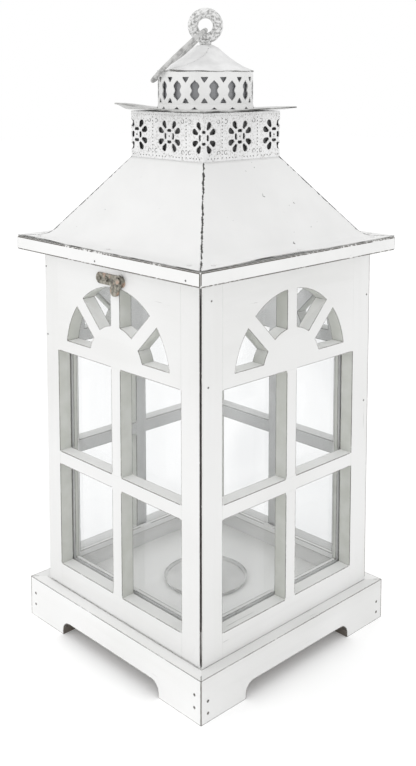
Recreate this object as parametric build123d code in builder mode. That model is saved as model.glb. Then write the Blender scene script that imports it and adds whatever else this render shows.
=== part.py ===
from build123d import *
from math import cos, pi, radians, sin
import os

# Candle lantern: a square wooden body on a plinth, one face a hinged door, with a flared
# sheet-metal roof, a pierced vent collar and cupola, and a hanging eye with a loose ring.
# Millimetres. Z is up, the origin is the centre of the footprint on the ground.
# The door is the face towards -Y. Walls are drawn in (u, z), with u to the right seen from outside.

# Driving dimensions
plinth_width = 230.0
plinth_height = 36.5
skirt_thickness = 15.0
notch_width = 130.0
notch_height = 13.0
deck_width = 206.0
deck_thickness = 9.0

body_width = 208.0
wall_thickness = 12.5
stile_width = 23.0
rail_height = 21.0
bar_width = 12.0
lower_opening = 94.0
upper_opening = 93.0
fan_radius = 68.5
hub_radius = 36.0
hub_strip = 11.0

glass_thickness = 2.0
glass_overlap = 2.2
bead_width = 5.8
bead_depth = 6.0
bead_reveal = 1.5

door_bottom_gap = 1.0
door_top_gap = 1.5
door_mitre_gap = 1.4
door_back_gap = 0.5
pivot_radius = 1.5
pivot_depth = 12.0
running_clearance = 0.05

eave_width = 240.0
eave_bottom = 344.8
eave_thickness = 12.2
eave_vent_radius = 45.0

sheet = 0.9
flange_width = 12.0
roof_bend_radius = 15.0
roof_slope = 52.9
collar_half = 46.5
collar_bottom = 424.0
collar_top = 469.0

cap_width = 114.0
cap_thickness = 1.2
vent_radius = 36.0

drum_radius = 42.0
drum_top = 503.2
drum_motifs = 16
cone_rim = 42.6
cone_rim_z = 504.0
crown_radius = 11.7
crown_z = 524.0
seat_z = 526.5

eye_centre_z = 543.4
eye_major = 10.95
eye_minor = 4.55
stud_radius = 2.95

ring_radius = 32.0
wire_radius = 2.0
ring_pivot_z = 539.5
ring_lean = 43.5

latch_x = 9.0
latch_pivot_z = 332.3
latch_reach = 15.7

# Worked out from them
half_body = body_width / 2
half_opening = half_body - stile_width
rail_top = plinth_height + rail_height
cross_bottom = rail_top + lower_opening
cross_top = cross_bottom + bar_width
fan_bottom = cross_top + upper_opening
eave_top = eave_bottom + eave_thickness
door_bottom = plinth_height + door_bottom_gap
door_top = eave_bottom - door_top_gap
hinge_offset = half_body - wall_thickness / 2
inner_face = half_body - wall_thickness
door_face_y = -half_body

# Each side's outward direction and its direction along the wall
sides = {
    "door": (Vector(0, -1, 0), Vector(1, 0, 0)),
    "right": (Vector(1, 0, 0), Vector(0, 1, 0)),
    "back": (Vector(0, 1, 0), Vector(-1, 0, 0)),
    "left": (Vector(-1, 0, 0), Vector(0, -1, 0)),
}

os.makedirs("parts", exist_ok=True)


def keep(piece, label):
    piece.part.label = label
    export_step(piece.part, f"parts/{label}.step")


def face_plane(side, distance):
    """Upright plane facing outwards: (u, z)."""
    outward, along = sides[side]
    return Plane(origin=outward * distance, x_dir=along, z_dir=outward)


def plan_plane(side, z):
    """Level plane: u along the wall, and minus the distance outwards."""
    outward, along = sides[side]
    return Plane(origin=(0, 0, z), x_dir=along, z_dir=(0, 0, 1))


def section_plane(side):
    """Upright plane across the wall: (distance outwards, z)."""
    outward, along = sides[side]
    return Plane(origin=(0, 0, 0), x_dir=outward, z_dir=along * -1)


def plan_prism(side, points, low, high):
    """Solid on a plan outline given as (u, distance outwards), between two heights."""
    with BuildPart() as prism:
        with BuildSketch(plan_plane(side, low)):
            with BuildLine():
                Polyline([(u, -out) for u, out in points], close=True)
            make_face()
        extrude(amount=high - low)
    return prism


def side_wedge(side, reach, high):
    """Wedge from the centre line that mitres a side's pieces at both corners."""
    return plan_prism(side, [(0, 0), (reach, reach), (-reach, reach)], -1, high)


# ---------------------------------------------------------------- plinth
nail_radius = 0.9
nail_length = 22.0
nail_set = 0.6
nail_u = plinth_width / 2 - skirt_thickness / 2
front_nails = (12.0, 22.5)
side_nails = (7.5, 17.5)
nail_heights = {"door": front_nails, "back": front_nails, "right": side_nails, "left": side_nails}


def nail_rods(side, start, length):
    """The nails at both ends of a skirt, driven in from its face."""
    with BuildPart() as rods:
        with BuildSketch(face_plane(side, start)):
            for u in (-nail_u, nail_u):
                for z in nail_heights[side]:
                    with Locations((u, z)):
                        Circle(nail_radius)
        extrude(amount=-length)
    return rods


nail_holes = []
for side in sides:
    nail_holes.append(nail_rods(side, plinth_width / 2 + 1, nail_length + nail_set + 1))

skirt_names = {"door": "front", "right": "right", "back": "back", "left": "left"}
rebate_width = plinth_width / 2 - deck_width / 2
for side in sides:
    outer = plinth_width / 2
    inner = outer - skirt_thickness
    shelf = plinth_height - deck_thickness
    with BuildPart() as skirt:
        with BuildSketch(section_plane(side)):
            with BuildLine():
                Polyline(
                    (inner, 0),
                    (outer, 0),
                    (outer, plinth_height),
                    (outer - rebate_width, plinth_height),
                    (outer - rebate_width, shelf),
                    (inner, shelf),
                    close=True,
                )
            outline = make_face()
            top_corner = outline.vertices().sort_by(Axis.Z)[-2:].sort_by_distance((0, 0, 0))[-1]
            fillet(top_corner, radius=2.0)
        extrude(amount=plinth_width / 2, both=True)
        with BuildSketch(face_plane(side, outer + 1)):
            with Locations((0, notch_height / 2 - 5)):
                notch = Rectangle(notch_width, notch_height + 10)
            fillet(notch.vertices().group_by(Axis.Z)[-1], radius=9.0)
        extrude(amount=-skirt_thickness - 2, mode=Mode.SUBTRACT)
        add(side_wedge(side, plinth_width, plinth_height + 2).part, mode=Mode.INTERSECT)
        for holes in nail_holes:
            add(holes.part, mode=Mode.SUBTRACT)
    keep(skirt, f"base_skirt_{skirt_names[side]}")

with BuildPart() as skirt_nails:
    for side in sides:
        add(nail_rods(side, plinth_width / 2 - nail_set, nail_length).part)
keep(skirt_nails, "skirt_nails")

with BuildPart() as base_deck:
    with BuildSketch(Plane.XY.offset(plinth_height - deck_thickness)):
        Rectangle(deck_width, deck_width)
        with Locations((-hinge_offset, -hinge_offset)):
            Circle(pivot_radius, mode=Mode.SUBTRACT)
    extrude(amount=deck_thickness)
keep(base_deck, "base_deck")

dish_radius = 38.5
dish_rim = 3.4
dish_sheet = 1.0
dish_flare = 1.5
with BuildPart() as candle_dish:
    with BuildSketch(Plane.XZ):
        with BuildLine():
            Polyline(
                (0, plinth_height),
                (dish_radius - dish_flare, plinth_height),
                (dish_radius, plinth_height + dish_rim),
                (dish_radius - dish_sheet, plinth_height + dish_rim),
                (dish_radius - dish_flare - 0.8 * dish_sheet, plinth_height + dish_sheet),
                (0, plinth_height + dish_sheet),
                close=True,
            )
        make_face()
    revolve(axis=Axis.Z)
keep(candle_dish, "candle_dish")


# ---------------------------------------------------------------- latch dimensions and bores
plate_length = 38.0
plate_height = 9.6
plate_thickness = 1.2
plate_centre_x = -5.2
plate_z = 331.0
latch_screw_x = (-19.7, -9.7)
latch_screw_radius = 1.2
hook_thickness = 2.0
hook_gap = 0.3
hook_eye_radius = 4.6
hook_tip_radius = 5.2
rivet_radius = 1.5
hook_front = door_face_y - plate_thickness - hook_gap - hook_thickness
hook_neck = 8.0
hook_lean = 35.0
screw_head_radius = 2.5
rivet_head_radius = 2.9
head_height = 1.3
screw_slot = (4.2, 0.7)
screw_slot_depth = 0.6
screw_slot_angle = 35
screw_sink = 9.0
screw_places = [(x, plate_z) for x in latch_screw_x]
with BuildPart() as latch_bores:
    with BuildSketch(face_plane("door", half_body + plate_thickness)):
        with Locations(*screw_places):
            Circle(latch_screw_radius)
        with Locations((latch_x, latch_pivot_z)):
            Circle(rivet_radius)
    extrude(amount=-screw_sink - plate_thickness)


# ---------------------------------------------------------------- walls and door
def stile_outline(side, end):
    """Plan of one stile; end is -1 for the left end of the wall and +1 for the right."""
    gap = door_mitre_gap if side == "door" else 0
    outer_end = half_body - gap
    inner_end = inner_face - gap
    if side == "left" and end > 0:  # this edge butts behind the door
        outer_end = inner_face - door_back_gap
        inner_end = outer_end
    points = [
        (half_opening, half_body),
        (outer_end, half_body),
        (inner_end, inner_face),
        (half_opening, inner_face),
    ]
    return [(end * u, out) for u, out in points]


def wall_stile(side, end, low, high):
    return plan_prism(side, stile_outline(side, end), low, high)


def hinge_stile(low, high):
    """The door's left stile, rounded about the pivot and bored for both pins."""
    radius = wall_thickness / 2
    with BuildPart() as stile:
        with BuildSketch(plan_plane("door", low)):
            with Locations(((-hinge_offset - half_opening) / 2, -hinge_offset)):
                Rectangle(hinge_offset - half_opening, wall_thickness)
            with Locations((-hinge_offset, -hinge_offset)):
                Circle(radius)
        extrude(amount=high - low)
        for z, depth in ((low, pivot_depth), (high, -pivot_depth)):
            with BuildSketch(plan_plane("door", z)):
                with Locations((-hinge_offset, -hinge_offset)):
                    Circle(pivot_radius + running_clearance)
            extrude(amount=depth, mode=Mode.SUBTRACT)
    return stile


def flat_board(side, low, high):
    """A board between the stiles."""
    with BuildPart() as board:
        with BuildSketch(face_plane(side, half_body)):
            with Locations((0, (low + high) / 2)):
                Rectangle(2 * half_opening, high - low)
        extrude(amount=-wall_thickness)
    return board


def fan_openings():
    """Half ring cut into four lights by three spokes, above a level strip."""
    with BuildSketch() as openings:
        Circle(fan_radius)
        Circle(hub_radius, mode=Mode.SUBTRACT)
        with PolarLocations(fan_radius / 2, 3, start_angle=45, angular_range=90, endpoint=True):
            Rectangle(2 * fan_radius, bar_width, mode=Mode.SUBTRACT)
        with Locations((0, hub_strip - fan_radius)):
            Rectangle(4 * fan_radius, 2 * fan_radius, mode=Mode.SUBTRACT)
    return openings


fan_lights = fan_openings()


def fan_board(side, top):
    with BuildPart() as board:
        with BuildSketch(face_plane(side, half_body)):
            with Locations((0, (fan_bottom + top) / 2)):
                Rectangle(2 * half_opening, top - fan_bottom)
            with Locations((0, fan_bottom)):
                add(fan_lights.sketch, mode=Mode.SUBTRACT)
        extrude(amount=-wall_thickness)
        if side == "door":
            add(latch_bores.part, mode=Mode.SUBTRACT)
    return board


def lap_notch(side, start, depth, width, height):
    """The block that a half-lap takes out where the two bars cross."""
    with BuildPart() as block:
        with BuildSketch(face_plane(side, start)):
            with Locations((0, (cross_bottom + cross_top) / 2)):
                Rectangle(width, height)
        extrude(amount=-depth)
    return block


def upright_bar(side):
    with BuildPart() as bar:
        with BuildSketch(face_plane(side, half_body)):
            with Locations((0, (rail_top + fan_bottom) / 2)):
                Rectangle(bar_width, fan_bottom - rail_top)
        extrude(amount=-wall_thickness)
        notch = lap_notch(side, half_body, wall_thickness / 2, 2 * bar_width, bar_width)
        add(notch.part, mode=Mode.SUBTRACT)
    return bar


def cross_bar(side):
    with BuildPart() as bar:
        with BuildSketch(face_plane(side, half_body)):
            with Locations((0, (cross_bottom + cross_top) / 2)):
                Rectangle(2 * half_opening, bar_width)
        extrude(amount=-wall_thickness)
        middle = half_body - wall_thickness / 2
        notch = lap_notch(side, middle, wall_thickness / 2, bar_width, 2 * bar_width)
        add(notch.part, mode=Mode.SUBTRACT)
    return bar


glass_half = half_opening + glass_overlap
glass_low = rail_top - glass_overlap
glass_high = fan_bottom + fan_radius + glass_overlap


def glass_pane(side):
    with BuildPart() as pane:
        with BuildSketch(face_plane(side, inner_face)):
            with Locations((0, (glass_low + glass_high) / 2)):
                Rectangle(2 * glass_half, glass_high - glass_low)
        extrude(amount=-glass_thickness)
    return pane


def glass_beads(side):
    """Four rebated strips round the pane: the uprights run through, the others fit between."""
    fit = 0.1
    bead_inner = half_opening - bead_reveal
    bead_outer = bead_inner + bead_width
    back = inner_face - bead_depth
    step = inner_face - glass_thickness - fit
    low = rail_top + bead_reveal - bead_width
    high = fan_bottom + fan_radius - bead_reveal + bead_width
    upright = [
        (bead_inner, step),
        (bead_inner, back),
        (bead_outer, back),
        (bead_outer, inner_face),
        (glass_half + fit, inner_face),
        (glass_half + fit, step),
    ]
    # distance beyond the opening's edge, distance outwards
    level = [(u - bead_inner, out) for u, out in upright]
    with BuildPart() as beads:
        for end in (-1, 1):
            add(plan_prism(side, [(end * u, out) for u, out in upright], low, high).part)
        for start, way in ((low + bead_width, -1), (high - bead_width, 1)):
            with BuildSketch(section_plane(side)):
                with BuildLine():
                    Polyline([(out, start + way * beyond) for beyond, out in level], close=True)
                make_face()
            extrude(amount=bead_inner - fit, both=True)
    return beads


for side in sides:
    is_door = side == "door"
    low = door_bottom if is_door else plinth_height
    high = door_top if is_door else eave_bottom
    left_name, right_name = ("hinge", "lock") if is_door else ("left_hand", "right_hand")
    prefix = "door" if is_door else f"{side}_wall"
    left_stile = hinge_stile(low, high) if is_door else wall_stile(side, -1, low, high)
    keep(left_stile, f"{prefix}_{left_name}_stile")
    keep(wall_stile(side, 1, low, high), f"{prefix}_{right_name}_stile")
    keep(flat_board(side, low, rail_top), f"{prefix}_bottom_rail")
    keep(fan_board(side, high), f"{prefix}_fan_board")
    keep(upright_bar(side), f"{prefix}_upright_bar")
    keep(cross_bar(side), f"{prefix}_cross_bar")
    keep(glass_pane(side), f"{prefix}_glass")
    keep(glass_beads(side), f"{prefix}_glass_beads")

with BuildPart() as door_pivot_pins:
    pin_ends = (
        (plinth_height - deck_thickness, door_bottom + pivot_depth - 1),
        (door_top - pivot_depth + 1, eave_top),
    )
    for low, high in pin_ends:
        with BuildSketch(Plane.XY.offset(low)):
            with Locations((-hinge_offset, -hinge_offset)):
                Circle(pivot_radius)
        extrude(amount=high - low)
keep(door_pivot_pins, "door_pivot_pins")


# ---------------------------------------------------------------- latch on the door
with BuildPart() as latch_plate:
    with BuildSketch(face_plane("door", half_body)):
        with Locations((plate_centre_x, plate_z)):
            SlotOverall(plate_length, plate_height)
    extrude(amount=plate_thickness)
    outer_rim = latch_plate.faces().sort_by(Axis.Y)[0].edges()
    chamfer(outer_rim, length=0.35)
    add(latch_bores.part, mode=Mode.SUBTRACT)
keep(latch_plate, "latch_plate")

with BuildPart() as latch_screws:
    for x, z in screw_places:
        with BuildSketch(face_plane("door", half_body - screw_sink)):
            with Locations((x, z)):
                Circle(latch_screw_radius)
        extrude(amount=screw_sink + plate_thickness)
        with BuildSketch(face_plane("door", half_body + plate_thickness)):
            with Locations((x, z)):
                Circle(screw_head_radius)
        head = extrude(amount=head_height)
        fillet(head.faces().sort_by(Axis.Y)[0].edges(), radius=0.9)
        with BuildSketch(face_plane("door", half_body + plate_thickness + head_height)):
            with Locations((x, z)):
                Rectangle(*screw_slot, rotation=screw_slot_angle)
        extrude(amount=-screw_slot_depth, mode=Mode.SUBTRACT)
keep(latch_screws, "latch_screws")

with BuildPart() as latch_rivet:
    with BuildSketch(face_plane("door", half_body - screw_sink)):
        with Locations((latch_x, latch_pivot_z)):
            Circle(rivet_radius)
    extrude(amount=screw_sink + plate_thickness + 2 * hook_gap + hook_thickness)
    with BuildSketch(face_plane("door", -hook_front + hook_gap)):
        with Locations((latch_x, latch_pivot_z)):
            Circle(rivet_head_radius)
    rivet_head = extrude(amount=head_height)
    fillet(rivet_head.faces().sort_by(Axis.Y)[0].edges(), radius=0.8)
keep(latch_rivet, "latch_rivet")

with BuildPart() as latch_hook:
    with BuildSketch(face_plane("door", -hook_front - hook_thickness)):
        tip = latch_reach - hook_tip_radius
        tip_x = latch_x - tip * sin(radians(hook_lean))
        tip_z = latch_pivot_z - tip * cos(radians(hook_lean))
        with Locations((latch_x, latch_pivot_z)):
            Circle(hook_eye_radius)
        with Locations((tip_x, tip_z)):
            Circle(hook_tip_radius)
        with Locations(((latch_x + tip_x) / 2, (latch_pivot_z + tip_z) / 2)):
            Rectangle(hook_neck, tip, rotation=-hook_lean)
        with Locations((latch_x, latch_pivot_z)):
            Circle(rivet_radius + running_clearance, mode=Mode.SUBTRACT)
    extrude(amount=hook_thickness)
keep(latch_hook, "latch_hook")

# ---------------------------------------------------------------- eave board
eave_rounding = 1.6
keeper_length = 34.0
keeper_depth = 9.0
keeper_thickness = 0.9
keeper_y = hook_front + hook_thickness / 2
slot_length = 21.0
slot_width = 3.2
slot_depth = 4.4
pin_u = (-98.0, 0.0, 98.0)
pin_out = 111.0
pin_radius = 0.8
pin_length = 9.0
pin_head_radius = 1.9
pin_head_height = 0.8


def roof_pin_places():
    """Plan positions of the pins through the roof flanges."""
    places = []
    for outward, along in sides.values():
        for u in pin_u:
            spot = outward * pin_out + along * u
            places.append((spot.X, spot.Y))
    return places


with BuildPart() as eave_board:
    with BuildSketch(Plane.XY.offset(eave_bottom)):
        Rectangle(eave_width, eave_width)
        Circle(eave_vent_radius, mode=Mode.SUBTRACT)
    extrude(amount=eave_thickness)
    outer_edges = eave_board.faces().filter_by(Plane.XY, reverse=True).filter_by(GeomType.PLANE).edges()
    fillet(outer_edges, radius=eave_rounding)
    with BuildSketch(Plane.XY.offset(eave_bottom)):
        with Locations((latch_x, keeper_y)):
            SlotOverall(keeper_length, keeper_depth)
    extrude(amount=keeper_thickness, mode=Mode.SUBTRACT)
    with BuildSketch(Plane.XY.offset(eave_bottom)):
        with Locations((latch_x, keeper_y)):
            Rectangle(slot_length, slot_width)
    extrude(amount=slot_depth, mode=Mode.SUBTRACT)
    with BuildSketch(Plane.XY.offset(eave_bottom)):
        with Locations((-hinge_offset, -hinge_offset)):
            Circle(pivot_radius)
    extrude(amount=eave_thickness, mode=Mode.SUBTRACT)
    with BuildSketch(Plane.XY.offset(eave_top)):
        with Locations(*roof_pin_places()):
            Circle(pin_radius)
    extrude(amount=-pin_length, mode=Mode.SUBTRACT)
keep(eave_board, "eave_board")

with BuildPart() as latch_keeper:
    with BuildSketch(Plane.XY.offset(eave_bottom)):
        with Locations((latch_x, keeper_y)):
            SlotOverall(keeper_length, keeper_depth)
            Rectangle(slot_length, slot_width, mode=Mode.SUBTRACT)
    extrude(amount=keeper_thickness)
keep(latch_keeper, "latch_keeper")

with BuildPart() as roof_pins:
    with BuildSketch(Plane.XY.offset(eave_top - pin_length)):
        with Locations(*roof_pin_places()):
            Circle(pin_radius)
    extrude(amount=pin_length + sheet)
    with BuildSketch(Plane.XY.offset(eave_top + sheet)):
        with Locations(*roof_pin_places()):
            Circle(pin_head_radius)
    extrude(amount=pin_head_height)
keep(roof_pins, "roof_pins")

# ---------------------------------------------------------------- roof
roof_edge = eave_width / 2 - 0.8
with BuildPart() as pin_bores:
    with BuildSketch(Plane.XY.offset(eave_top - 1)):
        with Locations(*roof_pin_places()):
            Circle(pin_radius)
    extrude(amount=5)

for side in sides:
    with BuildPart() as panel:
        with BuildSketch(section_plane(side)):
            with BuildLine():
                middle = eave_top + sheet / 2
                flange = Line((roof_edge, middle), (roof_edge - flange_width, middle))
                bend = JernArc(flange @ 1, flange % 1, roof_bend_radius, -roof_slope)
                rise = collar_top - middle
                PolarLine(bend @ 1, rise, direction=bend % 1)
            trace(line_width=sheet)
        extrude(amount=eave_width / 2, both=True)
        with BuildSketch(face_plane(side, collar_half)):
            Rectangle(4 * eave_width, 4 * eave_width)
        extrude(amount=-2 * collar_half, mode=Mode.SUBTRACT)
        add(side_wedge(side, eave_width, collar_top).part, mode=Mode.INTERSECT)
        add(pin_bores.part, mode=Mode.SUBTRACT)
    keep(panel, f"roof_panel_{skirt_names[side]}")


# ---------------------------------------------------------------- vent collar
petal_angles = (24.0, 58.5, 121.5, 156.0)
petal_root = (9.1, 1.5)  # distance from the centre, and radius
petal_tip = (12.4, 2.6)
inner_slot_radius = 5.0
inner_slot_width = 2.6
inner_slot_span = 34.0
centre_dot_radius = 0.8


def rosette():
    """Pierced flower: a dot, four curved slots and eight petals in pairs about the diagonals."""
    with BuildSketch() as flower:
        Circle(centre_dot_radius)
        for quarter in range(4):
            start = 90 * quarter - inner_slot_span / 2
            with BuildSketch(mode=Mode.PRIVATE) as petal:
                with BuildLine():
                    slot_arc = CenterArc((0, 0), inner_slot_radius, start, inner_slot_span)
                SlotArc(slot_arc, inner_slot_width)
            add(petal.sketch)
        for lean in petal_angles:
            for angle in (radians(lean), radians(-lean)):
                with BuildSketch(mode=Mode.PRIVATE) as petal:
                    for distance, radius in (petal_root, petal_tip):
                        with Locations((distance * cos(angle), distance * sin(angle))):
                            Circle(radius)
                    make_hull()
                add(petal.sketch)
    return flower


def flowers_on(turn):
    """Places along one side for the strip that runs round all four, turn counting from the right."""
    face = 2 * collar_half
    start = turn * face
    places = []
    for distance in flower_distances:
        for lap in (0, 4 * face):
            u = distance + lap - start - collar_half
            if abs(u) < collar_half + flower_reach:
                places.append((u, collar_middle_z))
    return places


collar_flower = rosette()
collar_middle_z = 448.5
flower_pitch = 42.7
flower_reach = 15.5
# Distances run round the collar from its front right corner; the strip's ends meet on the left.
flower_distances = [flower_pitch * count for count in range(-2, 7)]
with BuildPart() as vent_collar:
    with BuildSketch(Plane.XY.offset(collar_bottom)):
        Rectangle(2 * collar_half, 2 * collar_half)
        Rectangle(2 * (collar_half - sheet), 2 * (collar_half - sheet), mode=Mode.SUBTRACT)
    extrude(amount=collar_top - collar_bottom)
    for turn, side in enumerate(("right", "back", "left", "door")):
        with BuildSketch(face_plane(side, collar_half)):
            with Locations(*flowers_on(turn)):
                add(collar_flower.sketch)
        extrude(amount=-sheet, mode=Mode.SUBTRACT)
keep(vent_collar, "vent_collar")

# Thin plain sleeves stand just behind the pierced sheets, so the holes show a grey backing.
lining_sheet = 0.6
collar_lining_half = 44.0
with BuildPart() as collar_lining:
    with BuildSketch(Plane.XY.offset(collar_bottom)):
        Rectangle(2 * collar_lining_half, 2 * collar_lining_half)
        Rectangle(*[2 * (collar_lining_half - lining_sheet)] * 2, mode=Mode.SUBTRACT)
    extrude(amount=collar_top - collar_bottom)
keep(collar_lining, "collar_lining")

with BuildPart() as cap_plate:
    with BuildSketch(Plane.XY.offset(collar_top)):
        Rectangle(cap_width, cap_width)
        Circle(vent_radius, mode=Mode.SUBTRACT)
    extrude(amount=cap_thickness)
keep(cap_plate, "cap_plate")


# ---------------------------------------------------------------- cupola
light_tip = 8.7
light_shoulder = (3.1, 5.6)
light_belly = (4.0, 3.3)
light_waist = 2.7


def tall_light():
    """Waisted hole, pointed at both ends."""
    with BuildSketch() as light:
        with BuildLine():
            for up in (-1, 1):
                for right in (-1, 1):
                    Spline(
                        (0, up * light_tip),
                        (right * light_shoulder[0], up * light_shoulder[1]),
                        (right * light_belly[0], up * light_belly[1]),
                        (right * light_waist, 0),
                        tangents=[(right * 0.8, -up), (0, -up)],
                    )
        make_face()
    return light


def small_light(width, height):
    """Triangle standing on its flat side, with bowed sides."""
    with BuildSketch() as light:
        with BuildLine():
            Line((-width / 2, 0), (width / 2, 0))
            ThreePointArc((width / 2, 0), (width / 3.4, height / 1.9), (0, height))
            ThreePointArc((0, height), (-width / 3.4, height / 1.9), (-width / 2, 0))
        make_face()
    return light


def scallop_cut(pitch):
    """What is cut from the lower edge: a cusp that points up, between two round lobes."""
    with BuildSketch() as cut:
        Rectangle(pitch, 2 * scallop_height)
        with Locations((-pitch / 2, scallop_radius), (pitch / 2, scallop_radius)):
            Circle(scallop_radius, mode=Mode.SUBTRACT)
    return cut


def drum_plane(angle):
    """Upright plane outside the drum, facing outwards at an angle about Z."""
    outward = Vector(cos(angle), sin(angle), 0)
    along = Vector(-sin(angle), cos(angle), 0)
    return Plane(outward * (drum_radius + drum_clear), x_dir=along, z_dir=outward)


drum_clear = 4.0
drum_foot = 5.0
drum_flare = 1.3
scallop_height = 3.0
scallop_radius = 12.5
upper_triangle_rise = 11.4
lower_triangle_drop = 10.6
drum_bottom = collar_top + cap_thickness
drum_middle = (drum_bottom + drum_top) / 2 + 0.6
drum_step = 2 * pi / drum_motifs
tall_hole = tall_light()
upper_triangle = small_light(6.2, 4.8)
lower_triangle = small_light(5.6, 4.4)
scallop = scallop_cut(2 * drum_radius * sin(drum_step / 2))
with BuildPart() as cupola_drum:
    with BuildSketch(Plane.XZ):
        with BuildLine():
            Polyline(
                (drum_radius - sheet, drum_top),
                (drum_radius, drum_top),
                (drum_radius, drum_bottom + drum_foot),
                (drum_radius + drum_flare, drum_bottom),
                (drum_radius + drum_flare - sheet, drum_bottom),
                (drum_radius - sheet, drum_bottom + drum_foot),
                close=True,
            )
        make_face()
    revolve(axis=Axis.Z)
    for motif in range(drum_motifs):
        with BuildSketch(drum_plane((motif + 0.5) * drum_step)):
            with Locations((0, drum_middle)):
                add(tall_hole.sketch)
            with Locations((0, drum_bottom)):
                add(scallop.sketch)
        extrude(amount=-drum_clear - drum_foot, mode=Mode.SUBTRACT)
        with BuildSketch(drum_plane(motif * drum_step)):
            with Locations(Location((0, drum_middle + upper_triangle_rise), 180)):
                add(upper_triangle.sketch)
            with Locations((0, drum_middle - lower_triangle_drop)):
                add(lower_triangle.sketch)
        extrude(amount=-drum_clear - drum_foot, mode=Mode.SUBTRACT)
keep(cupola_drum, "cupola_drum")

drum_lining_radius = 39.0
with BuildPart() as drum_lining:
    with BuildSketch(Plane.XY.offset(drum_bottom)):
        Circle(drum_lining_radius)
        Circle(drum_lining_radius - lining_sheet, mode=Mode.SUBTRACT)
    extrude(amount=drum_top - drum_bottom)
keep(drum_lining, "drum_lining")

cone_arc_middle = (26.0, 511.8)
seat_radius = 7.0
with BuildPart() as cupola_cone:
    with BuildSketch(Plane.XZ):
        with BuildLine():
            rim = (cone_rim, cone_rim_z)
            bore = stud_radius + running_clearance
            ThreePointArc(rim, cone_arc_middle, (crown_radius, crown_z))
            Polyline(
                (crown_radius, crown_z),
                (seat_radius, seat_z),
                (bore, seat_z),
                (bore, seat_z - sheet),
                (seat_radius - 0.2, seat_z - sheet),
                (crown_radius - 0.3, crown_z - sheet),
            )
            ThreePointArc(
                (crown_radius - 0.3, crown_z - sheet),
                (cone_arc_middle[0] - 0.2, cone_arc_middle[1] - sheet),
                (cone_rim, drum_top),
            )
            Line((cone_rim, drum_top), rim)
        make_face()
    revolve(axis=Axis.Z)
keep(cupola_cone, "cupola_cone")

# ---------------------------------------------------------------- hanging eye and ring
# The eye's hole runs along the diagonal from the back-left corner to the front-right one.
eye_axis = Vector(1, -1, 0).normalized()
eye_across = Vector(-1, -1, 0).normalized()
stud_bottom = 516.0
neck_radius = 5.2
neck_height = 4.5
nut_height = 4.0
nut_radius = 5.5

with BuildPart() as hanging_eye:
    with BuildSketch(Plane(origin=(0, 0, eye_centre_z), x_dir=eye_axis, z_dir=eye_across * -1)):
        with Locations((0, eye_major)):
            Circle(eye_minor)
    revolve(axis=Axis((0, 0, eye_centre_z), eye_axis))
    with BuildSketch(Plane.XY.offset(seat_z)):
        Circle(neck_radius)
    extrude(amount=neck_height)
    with BuildSketch(Plane.XY.offset(stud_bottom)):
        Circle(stud_radius)
    extrude(amount=seat_z - stud_bottom)
keep(hanging_eye, "hanging_eye")

with BuildPart() as eye_nut:
    with BuildSketch(Plane.XY.offset(seat_z - sheet - nut_height)):
        RegularPolygon(nut_radius, 6)
        Circle(stud_radius + running_clearance, mode=Mode.SUBTRACT)
    extrude(amount=nut_height)
keep(eye_nut, "eye_nut")

lean = radians(ring_lean)
lean_way = eye_across * cos(lean) + Vector(0, 0, -1) * sin(lean)
ring_centre = Vector(0, 0, ring_pivot_z) + lean_way * ring_radius
ring_normal = eye_axis.cross(lean_way)
with BuildPart() as hanging_ring:
    with BuildSketch(Plane(origin=ring_centre, x_dir=lean_way, z_dir=eye_axis)):
        with Locations((-ring_radius, 0)):
            Circle(wire_radius)
    revolve(axis=Axis(ring_centre, ring_normal))
keep(hanging_ring, "hanging_ring")
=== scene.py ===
import math
import bpy
import numpy as np
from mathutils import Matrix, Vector


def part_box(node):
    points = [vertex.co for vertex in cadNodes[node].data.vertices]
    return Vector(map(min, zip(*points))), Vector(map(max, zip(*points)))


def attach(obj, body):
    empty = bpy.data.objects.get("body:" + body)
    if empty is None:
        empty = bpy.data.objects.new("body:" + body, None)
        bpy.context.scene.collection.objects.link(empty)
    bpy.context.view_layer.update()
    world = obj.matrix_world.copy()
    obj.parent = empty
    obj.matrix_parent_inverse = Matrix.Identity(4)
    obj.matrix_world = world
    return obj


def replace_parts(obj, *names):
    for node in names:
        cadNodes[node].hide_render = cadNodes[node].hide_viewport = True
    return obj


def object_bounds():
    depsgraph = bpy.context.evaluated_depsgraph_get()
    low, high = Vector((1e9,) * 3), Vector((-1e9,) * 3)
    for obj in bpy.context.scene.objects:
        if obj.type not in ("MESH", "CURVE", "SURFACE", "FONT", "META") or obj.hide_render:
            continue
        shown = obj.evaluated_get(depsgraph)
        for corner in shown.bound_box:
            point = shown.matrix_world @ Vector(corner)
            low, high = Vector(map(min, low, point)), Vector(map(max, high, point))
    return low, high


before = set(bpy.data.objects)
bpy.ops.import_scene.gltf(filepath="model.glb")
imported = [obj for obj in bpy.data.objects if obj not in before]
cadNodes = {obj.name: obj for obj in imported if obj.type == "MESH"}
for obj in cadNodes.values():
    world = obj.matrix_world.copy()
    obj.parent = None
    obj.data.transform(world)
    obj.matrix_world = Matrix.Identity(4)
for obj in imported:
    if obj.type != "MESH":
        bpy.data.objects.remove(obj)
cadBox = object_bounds()
mm = 0.001
print("frame loaded,", len(cadNodes), "nodes")

# Levels read from the frame, in metres
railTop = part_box("door_bottom_rail")[1].z
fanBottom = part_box("door_fan_board")[0].z
crossLow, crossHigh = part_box("door_cross_bar")[0].z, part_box("door_cross_bar")[1].z
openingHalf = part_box("door_cross_bar")[1].x
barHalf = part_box("door_upright_bar")[1].x
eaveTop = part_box("eave_board")[1].z
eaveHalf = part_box("eave_board")[1].x
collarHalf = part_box("vent_collar")[1].x
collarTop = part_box("vent_collar")[1].z
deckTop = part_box("base_deck")[1].z

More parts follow.
